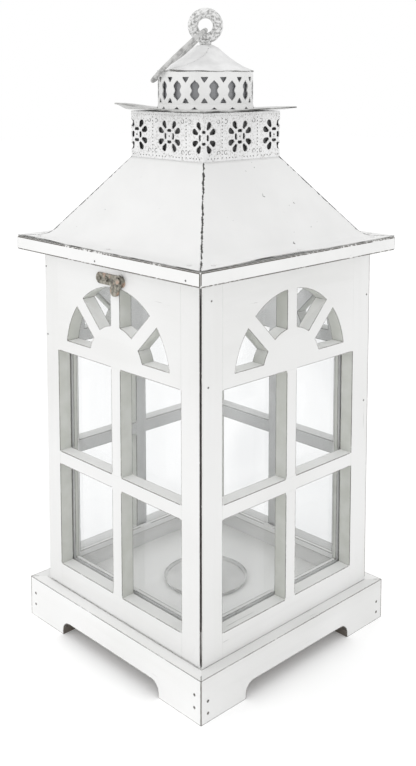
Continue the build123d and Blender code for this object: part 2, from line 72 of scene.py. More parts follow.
# each side's outward and along directions, along being to the right seen from outside
sideWays = {
    "front": ((0, -1, 0), (1, 0, 0)),
    "right": ((1, 0, 0), (0, 1, 0)),
    "back": ((0, 1, 0), (-1, 0, 0)),
    "left": ((-1, 0, 0), (0, -1, 0)),
}


# Small shader helpers
def addNode(tree, kind, inputs=None, **settings):
    # A shader node whose inputs are linked where a socket is given and set where a value is
    made = tree.nodes.new("ShaderNode" + kind)
    for name, value in settings.items():
        setattr(made, name, value)
    for key, value in (inputs or {}).items():
        if isinstance(value, bpy.types.NodeSocket):
            tree.links.new(value, made.inputs[key])
        else:
            made.inputs[key].default_value = value
    return made


def calc(tree, operation, *values):
    # One math operation on the values
    return addNode(tree, "Math", dict(enumerate(values)), operation=operation).outputs[0]


def ramp(tree, value, low, high, start=0.0, end=1.0):
    # Smooth step from start to end as value goes from low to high
    inputs = {"Value": value, "From Min": low, "From Max": high, "To Min": start, "To Max": end}
    return addNode(tree, "MapRange", inputs, interpolation_type="SMOOTHSTEP").outputs[0]


def mixColour(tree, factor, first, second):
    # First times one minus the factor, plus second times the factor
    return addNode(tree, "Mix", {0: factor, 6: first, 7: second}, data_type="RGBA").outputs[2]


def noise(tree, place, scale, detail=2.0, roughness=0.5, distortion=0.0):
    # Fractal noise from 0 to 1, scale being its cells per metre
    inputs = {"Vector": place, "Scale": scale, "Detail": detail}
    inputs.update({"Roughness": roughness, "Distortion": distortion})
    return addNode(tree, "TexNoise", inputs).outputs[0]


def stretched(tree, place, scale):
    # The place times the scale, axis by axis
    return addNode(tree, "Mapping", {"Vector": place, "Scale": scale}).outputs[0]


def ownNormal(tree):
    # The face's true normal in the piece's own directions, which a turned door carries along
    normal = addNode(tree, "NewGeometry").outputs["True Normal"]
    turned = addNode(tree, "VectorTransform", {0: normal}, vector_type="NORMAL", convert_from="WORLD",
                     convert_to="OBJECT").outputs[0]
    return addNode(tree, "VectorMath", {0: turned}, operation="NORMALIZE").outputs[0]


def outwardShare(tree, place, normal):
    # Cosine between the normal and the level direction away from the upright axis
    level = stretched(tree, place, (1, 1, 0))
    outwards = addNode(tree, "VectorMath", {0: level}, operation="NORMALIZE").outputs[0]
    return addNode(tree, "VectorMath", {0: outwards, 1: normal}, operation="DOT_PRODUCT").outputs["Value"]


def startMaterial(name):
    # An empty node tree, with the piece's own coordinates as place
    mat = bpy.data.materials.new(name)
    mat.use_nodes = True
    tree = mat.node_tree
    tree.nodes.clear()
    place = addNode(tree, "TexCoord").outputs["Object"]
    return mat, tree, place


def finishMaterial(tree, colour, roughness, height, relief, metallic=0.0):
    # One principled surface, its bump being height times relief in metres
    bump = addNode(tree, "Bump", {"Height": height, "Strength": 1.0, "Distance": relief})
    surface = addNode(tree, "BsdfPrincipled", {
        "Base Color": colour, "Roughness": roughness, "Normal": bump.outputs[0], "Metallic": metallic,
    })
    addNode(tree, "OutputMaterial", {"Surface": surface.outputs[0]})


wearLook = {
    "samples": 6, "turned": (0.0, 0.16), "patches": (0.38, 0.60), "patchShare": 0.55,
    "chips": (0.32, 0.62), "chipShare": 0.65,
    # scores at which the paint is rubbed thin and chipped off
    "rubbed": (0.18, 0.36), "chipped": (0.36, 0.44), "rubbedShare": 0.35,
}


def arrisWear(tree, place, look, strip=None):
    # How near an edge is: one minus the cosine between the true normal and the normal of
    # the edge rounded to edgeReach, or 1 on the softened arris itself where strip says so.
    # That is weighed by a patchy noise and a chip noise.
    rounded = addNode(tree, "Bevel", {"Radius": look["edgeReach"]}, samples=wearLook["samples"]).outputs[0]
    own = addNode(tree, "NewGeometry").outputs["Normal"]
    cosine = addNode(tree, "VectorMath", {0: rounded, 1: own}, operation="DOT_PRODUCT").outputs["Value"]
    edge = ramp(tree, calc(tree, "SUBTRACT", 1.0, cosine), *wearLook["turned"])
    if strip is not None:
        edge = calc(tree, "MAXIMUM", edge, strip)
    patches = ramp(tree, noise(tree, place, look["patchScale"], 2.0), *wearLook["patches"])
    chips = ramp(tree, noise(tree, place, look["chipScale"], 4.0, 0.6), *wearLook["chips"])
    patchShare, chipShare = wearLook["patchShare"], wearLook["chipShare"]
    weight = calc(tree, "MULTIPLY_ADD", patches, patchShare, 1 - patchShare)
    chipWeight = calc(tree, "MULTIPLY_ADD", chips, chipShare, 1 - chipShare)
    weight = calc(tree, "MULTIPLY", weight, chipWeight)
    return calc(tree, "MULTIPLY", calc(tree, "MULTIPLY", edge, weight), look["wear"])


# sizes of a normal's parts on flat faces, soft arrises and mitres, and the line past which
# a level place is the corner that the door turns in
stripLook = {"flat": 0.995, "soft": 0.97, "mitre": 0.8, "faceShare": 0.15, "hingeCorner": -190 * mm}


def softStrip(tree, place, face):
    # 1 on the rounded arrises of square-cut boards, whose normals lie along no axis but not
    # as far off as a mitre's. On a wall only those that lean partly towards its face count,
    # so a curved soffit does not, and neither does the rounded corner that the door turns in.
    sizes = addNode(tree, "VectorMath", {0: ownNormal(tree)}, operation="ABSOLUTE").outputs[0]
    parts = addNode(tree, "SeparateXYZ", {0: sizes}).outputs
    largest = calc(tree, "MAXIMUM", calc(tree, "MAXIMUM", parts[0], parts[1]), parts[2])
    soft = ramp(tree, largest, stripLook["flat"], stripLook["soft"])
    strip = calc(tree, "MULTIPLY", soft, calc(tree, "GREATER_THAN", largest, stripLook["mitre"]))
    if face is not None:
        facing = calc(tree, "GREATER_THAN", parts[face], stripLook["faceShare"])
        strip = calc(tree, "MULTIPLY", strip, facing)
        spot = addNode(tree, "SeparateXYZ", {0: place}).outputs
        clear = calc(tree, "GREATER_THAN", calc(tree, "ADD", spot[0], spot[1]), stripLook["hingeCorner"])
        strip = calc(tree, "MULTIPLY", strip, clear)
    return strip


# Painted wood
woodLook = {
    # the reveal colour here is a grey-green painted shade for the recessed reveals of the openings
    "paint": (0.80, 0.80, 0.795, 1), "shade": (0.74, 0.74, 0.73, 1), "revealShade": (0.55, 0.56, 0.52, 1),
    "bare": (0.10, 0.092, 0.08, 1), "worn": (0.36, 0.345, 0.31, 1),
    "edgeReach": 1.4 * mm, "patchScale": 30.0, "chipScale": 420.0, "wear": 2.0, "underside": None,
    "fibre": 300.0, "fibreRun": 10.0, "broad": 42.0, "broadRun": 3.5, "cloudScale": 8.0,
    "clouds": (0.35, 0.68, 0.0, 0.6), "strokes": (0.45, 0.75, 0.0, 0.4),
    "splitFrom": 0.70, "splitSpan": 0.03, "splitClouds": (0.50, 0.58), "splitShare": 0.7,
    "roughness": 0.55, "chipRoughness": 0.85, "relief": 0.22 * mm,
    "fibreRise": 0.55, "strokeRise": 0.6, "chipDrop": 0.5,
}
# where the grey-green painted shade lies on a wall's reveals, and where bare wood and wear end
revealShadeLook = {
    "across": (0.75, 0.25), "up": (0.15, 0.85, 1.0, 0.12), "slack": 0.3 * mm, "footClear": 2.5 * mm,
    "mottleScale": 60.0, "mottle": (0.3, 0.7, 0.72, 1.0),
}
undersideLook = {"inwards": (-0.25, -0.5), "down": (-0.6, -0.9), "drop": 6 * mm, "outerFrom": 110 * mm}
jointLook = {"reach": 1.6 * mm, "barSlack": 0.6 * mm}


def jointMask(tree, along, height):
    # 1 where boards butt flush: the stiles' edges beside solid boards, and the bars' ends
    reach = jointLook["reach"]
    crossMiddle = (crossLow + crossHigh) / 2
    crossReach = (crossHigh - crossLow) / 2 + reach
    beside = calc(tree, "COMPARE", along, openingHalf, reach)
    solid = calc(tree, "LESS_THAN", height, railTop)
    solid = calc(tree, "MAXIMUM", solid, calc(tree, "GREATER_THAN", height, fanBottom))
    solid = calc(tree, "MAXIMUM", solid, calc(tree, "COMPARE", height, crossMiddle, crossReach - reach))
    onBar = calc(tree, "LESS_THAN", along, barHalf + jointLook["barSlack"])
    level = calc(tree, "COMPARE", height, railTop, reach)
    level = calc(tree, "MAXIMUM", level, calc(tree, "COMPARE", height, fanBottom, reach))
    level = calc(tree, "MAXIMUM", level, calc(tree, "COMPARE", height, crossMiddle, crossReach))
    beside = calc(tree, "MULTIPLY", beside, solid)
    return calc(tree, "MAXIMUM", beside, calc(tree, "MULTIPLY", onBar, level))


def paintedWood(name, grain, face=None, **changes):
    # Brushed white paint on wood. Fibres are noise stretched along the grain axis. face is
    # the axis that a wall faces along: its reveals, whose normals lie across that axis,
    # take a grey-green painted shade for the shade in their recesses, and its flush joints keep their paint.
    look = dict(woodLook, **changes)
    mat, tree, place = startMaterial(name)
    fine, broad = [look["fibre"]] * 3, [look["broad"]] * 3
    fine[grain], broad[grain] = look["fibreRun"], look["broadRun"]
    fibres = noise(tree, stretched(tree, place, fine), 1.0, 4.0, 0.6)
    strokes = noise(tree, stretched(tree, place, broad), 1.0, 3.0, 0.6, 0.3)
    clouds = noise(tree, place, look["cloudScale"], 2.0)
    score = arrisWear(tree, place, look, softStrip(tree, place, face))
    split = addNode(tree, "SeparateXYZ", {0: place}).outputs
    tone = calc(tree, "ADD", ramp(tree, clouds, *look["clouds"]), ramp(tree, strokes, *look["strokes"]))
    colour = mixColour(tree, tone, look["paint"], look["shade"])
    if face is not None:
        along = calc(tree, "ABSOLUTE", split[1 - face])
        normals = addNode(tree, "SeparateXYZ", {0: ownNormal(tree)}).outputs
        # painted shade: reveal faces that face neither out nor up take a grey-green colour for the shade in
        # their recesses
        across = ramp(tree, calc(tree, "ABSOLUTE", normals[face]), *revealShadeLook["across"])
        notUp = ramp(tree, normals[2], *revealShadeLook["up"])
        inside = calc(tree, "LESS_THAN", along, openingHalf + revealShadeLook["slack"])
        revealShading = calc(tree, "MULTIPLY", calc(tree, "MULTIPLY", across, notUp), inside)
        mottled = ramp(tree, noise(tree, place, revealShadeLook["mottleScale"], 4.0, 0.6), *revealShadeLook["mottle"])
        colour = mixColour(tree, calc(tree, "MULTIPLY", revealShading, mottled), colour, look["revealShade"])
        joints = jointMask(tree, along, split[2])
        foot = calc(tree, "LESS_THAN", split[2], deckTop + revealShadeLook["footClear"])
        joints = calc(tree, "MAXIMUM", joints, foot)
        score = calc(tree, "MULTIPLY", score, calc(tree, "SUBTRACT", 1.0, joints))
    if look["underside"]:
        # bare wood on what faces down or inwards below the deck, so dark that it also paints
        # the shade under the base, and no wear away from the outer faces
        normal = ownNormal(tree)
        facing = outwardShare(tree, place, normal)
        down = addNode(tree, "SeparateXYZ", {0: normal}).outputs[2]
        inwards = ramp(tree, facing, *undersideLook["inwards"])
        hidden = calc(tree, "MAXIMUM", inwards, ramp(tree, down, *undersideLook["down"]))
        below = calc(tree, "LESS_THAN", split[2], deckTop - undersideLook["drop"])
        colour = mixColour(tree, calc(tree, "MULTIPLY", hidden, below), colour, look["underside"])
        furthest = calc(tree, "MAXIMUM", calc(tree, "ABSOLUTE", split[0]), calc(tree, "ABSOLUTE", split[1]))
        outer = calc(tree, "GREATER_THAN", furthest, undersideLook["outerFrom"])
        score = calc(tree, "MULTIPLY", score, outer)
    rubbed = ramp(tree, score, *wearLook["rubbed"])
    chipped = ramp(tree, score, *wearLook["chipped"])
    splits = ramp(tree, fibres, look["splitFrom"], look["splitFrom"] + look["splitSpan"])
    splits = calc(tree, "MULTIPLY", splits, ramp(tree, clouds, *look["splitClouds"]))
    splits = calc(tree, "MULTIPLY", splits, look["splitShare"])
    colour = mixColour(tree, calc(tree, "MULTIPLY", rubbed, wearLook["rubbedShare"]), colour, look["worn"])
    colour = mixColour(tree, calc(tree, "MAXIMUM", chipped, splits), colour, look["bare"])
    rise = calc(tree, "MULTIPLY", strokes, look["strokeRise"])
    height = calc(tree, "MULTIPLY_ADD", fibres, look["fibreRise"], rise)
    height = calc(tree, "SUBTRACT", height, calc(tree, "MULTIPLY", chipped, look["chipDrop"]))
    roughness = ramp(tree, chipped, 0.0, 1.0, look["roughness"], look["chipRoughness"])
    finishMaterial(tree, colour, roughness, height, look["relief"])
    return mat


# Painted sheet metal and painted iron
sheetLook = {
    "paint": (0.79, 0.79, 0.785, 1), "shade": (0.70, 0.70, 0.69, 1), "inside": (0.07, 0.07, 0.072, 1),
    "bare": (0.055, 0.053, 0.05, 1), "worn": (0.33, 0.32, 0.30, 1),
    "edgeReach": 1.1 * mm, "patchScale": 30.0, "chipScale": 380.0, "wear": 1.0, "insideShare": 0.0,
    "specks": 0.0, "stipple": 0.0, "hip": 0.0, "scale": 14.0, "roughness": 0.5, "relief": 0.12 * mm,
    "peelScale": 900.0, "clouds": (0.38, 0.68), "speckScale": 170.0, "speckRange": (0.735, 0.755),
    "hipScale": 240.0, "hipRange": (0.34, 0.68), "grainScale": 700.0, "grains": (0.52, 0.66),
    "facing": (-0.25, -0.55), "peelRise": 0.25, "cloudRise": 0.9, "chipDrop": 0.8, "chipRoughness": 0.75,
}


def paintedSheet(name, **changes):
    # Thick white paint on metal: a faint orange peel, soft clouds of tone, dark chips at
    # the edges, and sparse specks. Faces that look towards the object's upright axis take
    # the very dark inside colour by insideShare: bare metal, darkened as painted shade inside.
    look = dict(sheetLook, **changes)
    mat, tree, place = startMaterial(name)
    peel = noise(tree, place, look["peelScale"], 2.0)
    clouds = noise(tree, place, look["scale"], 3.0, 0.55)
    score = arrisWear(tree, place, look)
    colour = mixColour(tree, ramp(tree, clouds, *look["clouds"]), look["paint"], look["shade"])
    specks = noise(tree, place, look["speckScale"], 3.0, 0.6)
    specks = ramp(tree, specks, *look["speckRange"], 0.0, look["specks"])
    rubbed = ramp(tree, score, *wearLook["rubbed"])
    chipped = calc(tree, "MAXIMUM", ramp(tree, score, *wearLook["chipped"]), specks)
    if look["hip"]:
        # long ragged chips where the distance to a hip, the gap between x and y sizes, is small
        sizes = addNode(tree, "VectorMath", {0: place}, operation="ABSOLUTE").outputs[0]
        parts = addNode(tree, "SeparateXYZ", {0: sizes}).outputs
        apart = calc(tree, "ABSOLUTE", calc(tree, "SUBTRACT", parts[0], parts[1]))
        ragged = noise(tree, stretched(tree, place, (1, 1, 0.5)), look["hipScale"], 4.0, 0.7)
        reach = ramp(tree, ragged, *look["hipRange"], 0.0, look["hip"])
        chipped = calc(tree, "MAXIMUM", chipped, calc(tree, "LESS_THAN", apart, reach))
    if look["stipple"]:
        grains = ramp(tree, noise(tree, place, look["grainScale"], 2.0), *look["grains"])
        colour = mixColour(tree, calc(tree, "MULTIPLY", grains, look["stipple"]), colour, look["worn"])
    colour = mixColour(tree, calc(tree, "MULTIPLY", rubbed, wearLook["rubbedShare"]), colour, look["worn"])
    colour = mixColour(tree, chipped, colour, look["bare"])
    # painted shade: faces turned towards the upright axis take the very dark inside colour, bare metal
    # darkened for the shade inside the cupola
    if look["insideShare"]:
        facing = outwardShare(tree, place, ownNormal(tree))
        inner = ramp(tree, facing, *look["facing"], 0.0, look["insideShare"])
        colour = mixColour(tree, inner, colour, look["inside"])
    rise = calc(tree, "MULTIPLY", clouds, look["cloudRise"])
    height = calc(tree, "MULTIPLY_ADD", peel, look["peelRise"], rise)
    height = calc(tree, "SUBTRACT", height, calc(tree, "MULTIPLY", chipped, look["chipDrop"]))
    roughness = ramp(tree, chipped, 0.0, 1.0, look["roughness"], look["chipRoughness"])
    finishMaterial(tree, colour, roughness, height, look["relief"])
    return mat


# Metals
metalLooks = {
    "agedBronze": {
        "light": (0.36, 0.34, 0.29, 1), "dark": (0.11, 0.105, 0.09, 1), "tint": (0.46, 0.34, 0.27, 1),
        "scale": 260.0, "metallic": 0.75, "roughness": 0.42, "relief": 0.15 * mm,
    },
    "dullSteel": {
        "light": (0.36, 0.36, 0.35, 1), "dark": (0.12, 0.10, 0.085, 1), "tint": (0.24, 0.17, 0.12, 1),
        "scale": 420.0, "metallic": 0.8, "roughness": 0.5, "relief": 0.06 * mm,
    },
}


def bareMetal(name):
    # Two metal tones mixed by a cloudy noise, with a third tint in small patches
    look = metalLooks[name]
    mat, tree, place = startMaterial(name)
    clouds = noise(tree, place, look["scale"], 4.0, 0.6, 0.4)
    patches = noise(tree, place, look["scale"] * 0.6, 2.0)
    colour = mixColour(tree, ramp(tree, clouds, 0.38, 0.66), look["light"], look["dark"])
    colour = mixColour(tree, ramp(tree, patches, 0.52, 0.66), colour, look["tint"])
    roughness = ramp(tree, clouds, 0.3, 0.7, look["roughness"] * 0.75, look["roughness"] * 1.35)
    finishMaterial(tree, colour, roughness, clouds, look["relief"], look["metallic"])
    return mat


# Glass
glassLook = {
    "clear": (0.965, 0.967, 0.968, 1), "smear": (0.93, 0.933, 0.935, 1), "ior": 1.45, "roughness": 0.02,
    "stretch": (9.0, 9.0, 5.0), "smears": (0.45, 0.75),
}


def windowGlass(name):
    # Thin pane: straight-through light, with a mirror share on its outer faces that grows
    # at glancing angles, and faint wiped smears
    mat, tree, place = startMaterial(name)
    smears = noise(tree, stretched(tree, place, glassLook["stretch"]), 1.0, 2.0, 0.4, 0.6)
    smeared = ramp(tree, smears, *glassLook["smears"])
    tint = mixColour(tree, smeared, glassLook["clear"], glassLook["smear"])
    through = addNode(tree, "BsdfTransparent", {"Color": tint}).outputs[0]
    gloss = {"Color": (1, 1, 1, 1), "Roughness": glassLook["roughness"]}
    shine = addNode(tree, "BsdfGlossy", gloss).outputs[0]
    outer = calc(tree, "SUBTRACT", 1.0, addNode(tree, "NewGeometry").outputs["Backfacing"])
    fresnel = addNode(tree, "Fresnel", {"IOR": glassLook["ior"]}).outputs[0]
    share = calc(tree, "MULTIPLY", fresnel, outer)
    both = addNode(tree, "MixShader", {0: share, 1: through, 2: shine}).outputs[0]
    addNode(tree, "OutputMaterial", {"Surface": both})
    return mat


xAxis, yAxis, zAxis = 0, 1, 2
wallPaint = {
    ("x", "upright"): paintedWood("wallPaintFrontUpright", zAxis, face=yAxis),
    ("x", "level"): paintedWood("wallPaintFrontLevel", xAxis, face=yAxis),
    ("y", "upright"): paintedWood("wallPaintSideUpright", zAxis, face=xAxis),
    ("y", "level"): paintedWood("wallPaintSideLevel", yAxis, face=xAxis),
}
# very dark bare wood for the base's hidden faces: partly the unpainted wood, partly painted shade under the
# base
bareWoodUnderShade = (0.16, 0.14, 0.12, 1)
# front and back skirts take a brighter paint and the side skirts a darker one: painted light and shade for
# how the light falls on each pair
skirtPaint = {
    "x": paintedWood("skirtPaintFrontLit", xAxis, wear=1.5, paint=(0.87, 0.87, 0.865, 1),
                     shade=(0.80, 0.80, 0.79, 1), underside=bareWoodUnderShade),
    "y": paintedWood("skirtPaintSideShaded", yAxis, wear=1.8, shade=(0.70, 0.70, 0.69, 1), underside=bareWoodUnderShade,
                     splitFrom=0.655),
}
eavePaint = paintedWood("eavePaint", xAxis, wear=1.3, paint=(0.84, 0.84, 0.835, 1),
                        shade=(0.78, 0.78, 0.77, 1))
deckPaint = paintedWood("deckPaint", yAxis, wear=0.0, roughness=0.65, paint=(0.90, 0.90, 0.89, 1),
                        shade=(0.80, 0.80, 0.79, 1), underside=bareWoodUnderShade)
roofPaint = paintedSheet("roofPaint", wear=1.2, specks=0.8, hip=1.9 * mm, paint=(0.81, 0.81, 0.805, 1),
                         shade=(0.775, 0.775, 0.77, 1))
edgePaint = paintedSheet("sheetEdgePaint", paint=(0.50, 0.50, 0.49, 1), shade=(0.10, 0.10, 0.095, 1),
                         scale=60.0)
capPaint = paintedSheet("capPaint", paint=(0.66, 0.66, 0.655, 1), shade=(0.50, 0.50, 0.49, 1))
# the collar and drum take the dark inside colour on their inner faces: bare metal darkened as painted shade
# inside the cupola
collarPaint = paintedSheet("collarPaint", paint=(0.83, 0.83, 0.83, 1), shade=(0.74, 0.74, 0.74, 1),
                           wear=0.75, insideShare=1.0, edgeReach=0.7 * mm, stipple=0.45, relief=0.2 * mm)
drumPaint = paintedSheet("drumPaint", wear=0.55, insideShare=1.0, inside=(0.17, 0.175, 0.19, 1),
                         edgeReach=0.7 * mm)
collarBacking = paintedSheet("collarBacking", paint=(0.13, 0.13, 0.13, 1), shade=(0.03, 0.03, 0.03, 1),
                             wear=0.0, scale=150.0)
drumBacking = paintedSheet("drumBacking", paint=(0.32, 0.325, 0.335, 1), shade=(0.22, 0.225, 0.235, 1),
                           wear=0.0)
conePaint = paintedSheet("conePaint", wear=1.0, paint=(0.80, 0.80, 0.80, 1), shade=(0.66, 0.66, 0.66, 1),
                         scale=40.0)
# near-black paint for the punched dots, curls and nail heads: painted shade of their pits, with the nails'
# own dark metal
pitShadePaint = paintedSheet("pitShadePaint", paint=(0.12, 0.12, 0.115, 1), shade=(0.06, 0.06, 0.058, 1),
                          wear=0.0)
pinPaint = paintedSheet("pinPaint", wear=0.0)
ironPaint = paintedSheet("ironPaint", shade=(0.30, 0.30, 0.295, 1), scale=480.0, specks=0.9,
                         relief=0.5 * mm, wear=1.2)
wirePaint = paintedSheet("wirePaint", paint=(0.55, 0.55, 0.54, 1), shade=(0.28, 0.28, 0.275, 1),
                         specks=0.9, scale=160.0, relief=0.2 * mm)
dishPaint = paintedSheet("dishPaint", paint=(0.72, 0.72, 0.71, 1), shade=(0.55, 0.55, 0.54, 1), wear=0.8)
agedBronze = bareMetal("agedBronze")
dullSteel = bareMetal("dullSteel")
paneGlass = windowGlass("paneGlass")
print("materials made")


# Finishes and softened edges for the kept nodes
boardRounding = 0.22 * mm
softening = {"mergeReach": 0.002 * mm, "segments": 2, "sharpest": math.radians(35)}


def dress(name, material, rounding=0.0):
    # Gives a kept node its one material, and joins and rounds its edges if asked
    node = cadNodes[name]
    node.data.materials.clear()
    node.data.materials.append(material)
    if rounding:
        weld = node.modifiers.new("weld", "WELD")
        weld.merge_threshold = softening["mergeReach"]
        bevel = node.modifiers.new("rounding", "BEVEL")
        bevel.width = rounding
        bevel.segments = softening["segments"]
        bevel.limit_method = "ANGLE"
        bevel.angle_limit = softening["sharpest"]


wallSides = {"door": "x", "back_wall": "x", "right_wall": "y", "left_wall": "y"}
for wall, run in wallSides.items():
    for name in cadNodes:
        if name.startswith(wall + "_") and name != "door_pivot_pins":
            if "glass_beads" in name:
                dress(name, wallPaint[run, "upright"])
            elif "glass" in name:
                dress(name, paneGlass)
            else:
                upright = "stile" in name or "upright" in name
                dress(name, wallPaint[run, "upright" if upright else "level"], boardRounding)
for side in sideWays:
    dress("base_skirt_" + side, skirtPaint["x" if side in ("front", "back") else "y"], boardRounding)
dress("base_deck", deckPaint, boardRounding)
dress("eave_board", eavePaint, boardRounding)
dress("candle_dish", dishPaint)
for name in ("skirt_nails", "door_pivot_pins", "eye_nut"):
    dress(name, dullSteel)
dress("roof_pins", pinPaint)
dress("vent_collar", collarPaint)
dress("collar_lining", collarBacking)
dress("drum_lining", drumBacking)
dress("cupola_drum", drumPaint)
dress("hanging_eye", ironPaint)
dress("hanging_ring", wirePaint)
for name in ("latch_plate", "latch_screws", "latch_rivet", "latch_hook", "latch_keeper"):
    dress(name, agedBronze)
print("kept nodes dressed")


# Mesh helpers
def gridQuads(rows, columns, closed=False):
    # Quads of a rows by columns grid of points, wrapping round in columns if closed
    down = np.arange(rows - 1)[:, None] * columns
    right = np.arange(columns if closed else columns - 1)[None, :]
    nextRight = (right + 1) % columns
    quads = [down + right, down + nextRight, down + columns + nextRight, down + columns + right]
    return np.stack(np.broadcast_arrays(*quads), -1).reshape(-1, 4)


def makePiece(name, points, faces, materials, body, slotName):
    # A smooth-shaded piece that rides on a body
    mesh = bpy.data.meshes.new(name)
    mesh.from_pydata(np.asarray(points, float).reshape(-1, 3).tolist(), [], [list(f) for f in faces])
    mesh.polygons.foreach_set("use_smooth", np.full(len(mesh.polygons), True))
    for material in materials:
        mesh.materials.append(material)
    piece = bpy.data.objects.new(name, mesh)
    bpy.context.scene.collection.objects.link(piece)
    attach(piece, body)
    return piece


def thicken(piece, thickness):
    # Gives a sheet its thickness inwards, its rim taking the second material
    wall = piece.modifiers.new("wall", "SOLIDIFY")
    wall.thickness = thickness
    wall.offset = -1.0
    wall.use_even_offset = True
    wall.material_offset_rim = 1


def smoothStep(value, low, high):
    # Three times the share squared less twice its cube, the share clipped to 0 and 1
    share = np.clip((value - low) / (high - low), 0.0, 1.0)
    return share * share * (3 - 2 * share)


def onSide(side, along, out, height):
    # Points given by distance along the wall, distance outwards and height
    outward, run = (np.array(way, float) for way in sideWays[side])
    up = np.array((0.0, 0.0, 1.0))
    return along[..., None] * run + out[..., None] * outward + height[..., None] * up


# Roof sheets
roofShape = {
    "sheet": 0.9 * mm, "flange": 12.0 * mm, "bend": 15.0 * mm, "slope": math.radians(52.9),
    "inset": 0.8 * mm, "flangeRows": 7, "bendRows": 9, "slopeRows": 30, "columns": 61,
    "dents": 7, "dentDepth": 0.42 * mm, "sag": 0.7 * mm,
    # dents fade out over these heights and shares of the width, and lie within these ranges
    "dentFoot": 12 * mm, "dentTop": (412 * mm, 424 * mm), "dentHip": 0.16, "dentOut": (0.055, 0.09),
    "dentShare": (-0.7, 0.7), "dentSize": (0.006, 0.017), "dentForce": (0.3, 1.0), "dentStretch": 0.6,
    "sprungReach": 8 * mm, "cornerFade": 12 * mm,
    # where a flange's free edge has sprung up: along-wall middle, half-width and lift
    "sprung": {
        "front": (-92, 50, 0.9), "right": (-34, 66, 1.4), "back": (30, 60, 0.8), "left": (-20, 70, 1.0),
    },
    "seeds": {"front": 4, "right": 11, "back": 7, "left": 23},
}


def roofSheet(side):
    # The profile runs in along a level flange, round a bend and up the slope to the collar.
    # Each profile point is spread along the wall between the two mitres, where along equals
    # plus or minus out. Shallow round dents and a slight sag move it along its normal.
    shape = roofShape
    half = shape["sheet"] / 2
    start = eaveHalf - shape["inset"]
    bendStart = start - shape["flange"]
    inner = shape["bend"] - half
    bendCentre = eaveTop + half + shape["bend"]
    turn = np.linspace(0, shape["slope"], shape["bendRows"])
    flangeOut = np.linspace(start, bendStart, shape["flangeRows"])[:-1]
    bendOut, bendHeight = bendStart - inner * np.sin(turn), bendCentre - inner * np.cos(turn)
    run = np.linspace(0, (bendOut[-1] - collarHalf) / math.cos(shape["slope"]), shape["slopeRows"])[1:]
    out = np.concatenate([flangeOut, bendOut, bendOut[-1] - run * math.cos(shape["slope"])])
    height = np.concatenate([np.full(len(flangeOut), eaveTop + shape["sheet"]), bendHeight,
                             bendHeight[-1] + run * math.sin(shape["slope"])])
    tilt = np.concatenate([np.zeros(len(flangeOut)), turn, np.full(len(run), shape["slope"])])
    share = np.linspace(-1, 1, shape["columns"])
    along = out[:, None] * share[None, :]
    out, height, tilt = (np.repeat(a[:, None], shape["columns"], 1) for a in (out, height, tilt))
    # field keeps the dents off the hips, the bend and the collar joint
    rng = np.random.default_rng(shape["seeds"][side])
    fadeFrom, fadeTo = shape["dentTop"]
    field = smoothStep(height, bendCentre, bendCentre + shape["dentFoot"])
    field = field * smoothStep(-height, -fadeTo, -fadeFrom)
    field = field * smoothStep(1 - abs(share)[None, :], 0.0, shape["dentHip"])
    move = -shape["sag"] * field * np.cos(share * math.pi / 2)[None, :]
    for _ in range(shape["dents"]):
        middleOut, middleShare = rng.uniform(*shape["dentOut"]), rng.uniform(*shape["dentShare"])
        size, depth = rng.uniform(*shape["dentSize"]), rng.uniform(*shape["dentForce"]) * shape["dentDepth"]
        apart = ((out - middleOut) / shape["dentStretch"]) ** 2 + (along - middleShare * middleOut) ** 2
        move = move - depth * field * np.exp(-apart / size ** 2)
    out, height = out + move * np.sin(tilt), height + move * np.cos(tilt)
    middle, width, lift = (value * mm for value in shape["sprung"][side])
    free = smoothStep(out, start - shape["sprungReach"], start)
    free = free * smoothStep(width - abs(along - middle), 0, 0.8 * width)
    height = height + lift * free * smoothStep(start - abs(along), 0, shape["cornerFade"])
    points = onSide(side, along, out, height)
    faces = gridQuads(*along.shape)
    piece = makePiece("roofSheet_" + side, points, faces, [roofPaint, edgePaint], "lantern", "painted_sheet")
    thicken(piece, shape["sheet"])
    return piece


for side in sideWays:
    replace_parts(roofSheet(side), "roof_panel_" + side)
print("roof sheets made")


# Cap plate
capShape = {
    "half": 57.0 * mm, "hole": 36.0 * mm, "thickness": 1.2 * mm, "rings": 25, "around": 160,
    "leftCurl": 4.6 * mm, "rightCurl": 1.4 * mm, "curlFrom": 0.45, "ripple": 0.35 * mm, "clear": 1.5 * mm,
}


def capSheet():
    # Rings that go from the round hole to the square edge: each point is a mix of the two
    # outlines at one angle. Past the collar the left and right corners curl up and the
    # edge ripples.
    shape = capShape
    angle = np.linspace(0, 2 * math.pi, shape["around"], endpoint=False) + math.pi / 4
    mix = np.linspace(0, 1, shape["rings"])[:, None]
    cosine, sine = np.cos(angle), np.sin(angle)
    edge = shape["half"] / np.maximum(abs(cosine), abs(sine))
    radius = shape["hole"] * (1 - mix) + edge[None, :] * mix
    x, y = radius * cosine, radius * sine
    held = collarHalf + shape["clear"]
    free = smoothStep(np.maximum(abs(x), abs(y)) - held, 0, shape["half"] - held)
    leftward, rightward = (-x - y) / math.sqrt(2), (x + y) / math.sqrt(2)
    corner = shape["half"] * math.sqrt(2)
    curlStart = shape["curlFrom"] * corner
    curl = shape["leftCurl"] * smoothStep(leftward, curlStart, corner) * free
    curl = curl + shape["rightCurl"] * smoothStep(rightward, curlStart, corner) * free
    ripple = shape["ripple"] * free * np.sin(5 * angle + 0.6) * np.cos(2 * angle)
    z = collarTop + shape["thickness"] + curl + ripple
    points = np.stack([x, y, z], -1)
    faces = gridQuads(shape["rings"], shape["around"], closed=True)
    piece = makePiece("capSheet", points, faces, [capPaint, edgePaint], "lantern", "painted_sheet")
    thicken(piece, shape["thickness"])
    return piece


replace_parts(capSheet(), "cap_plate")


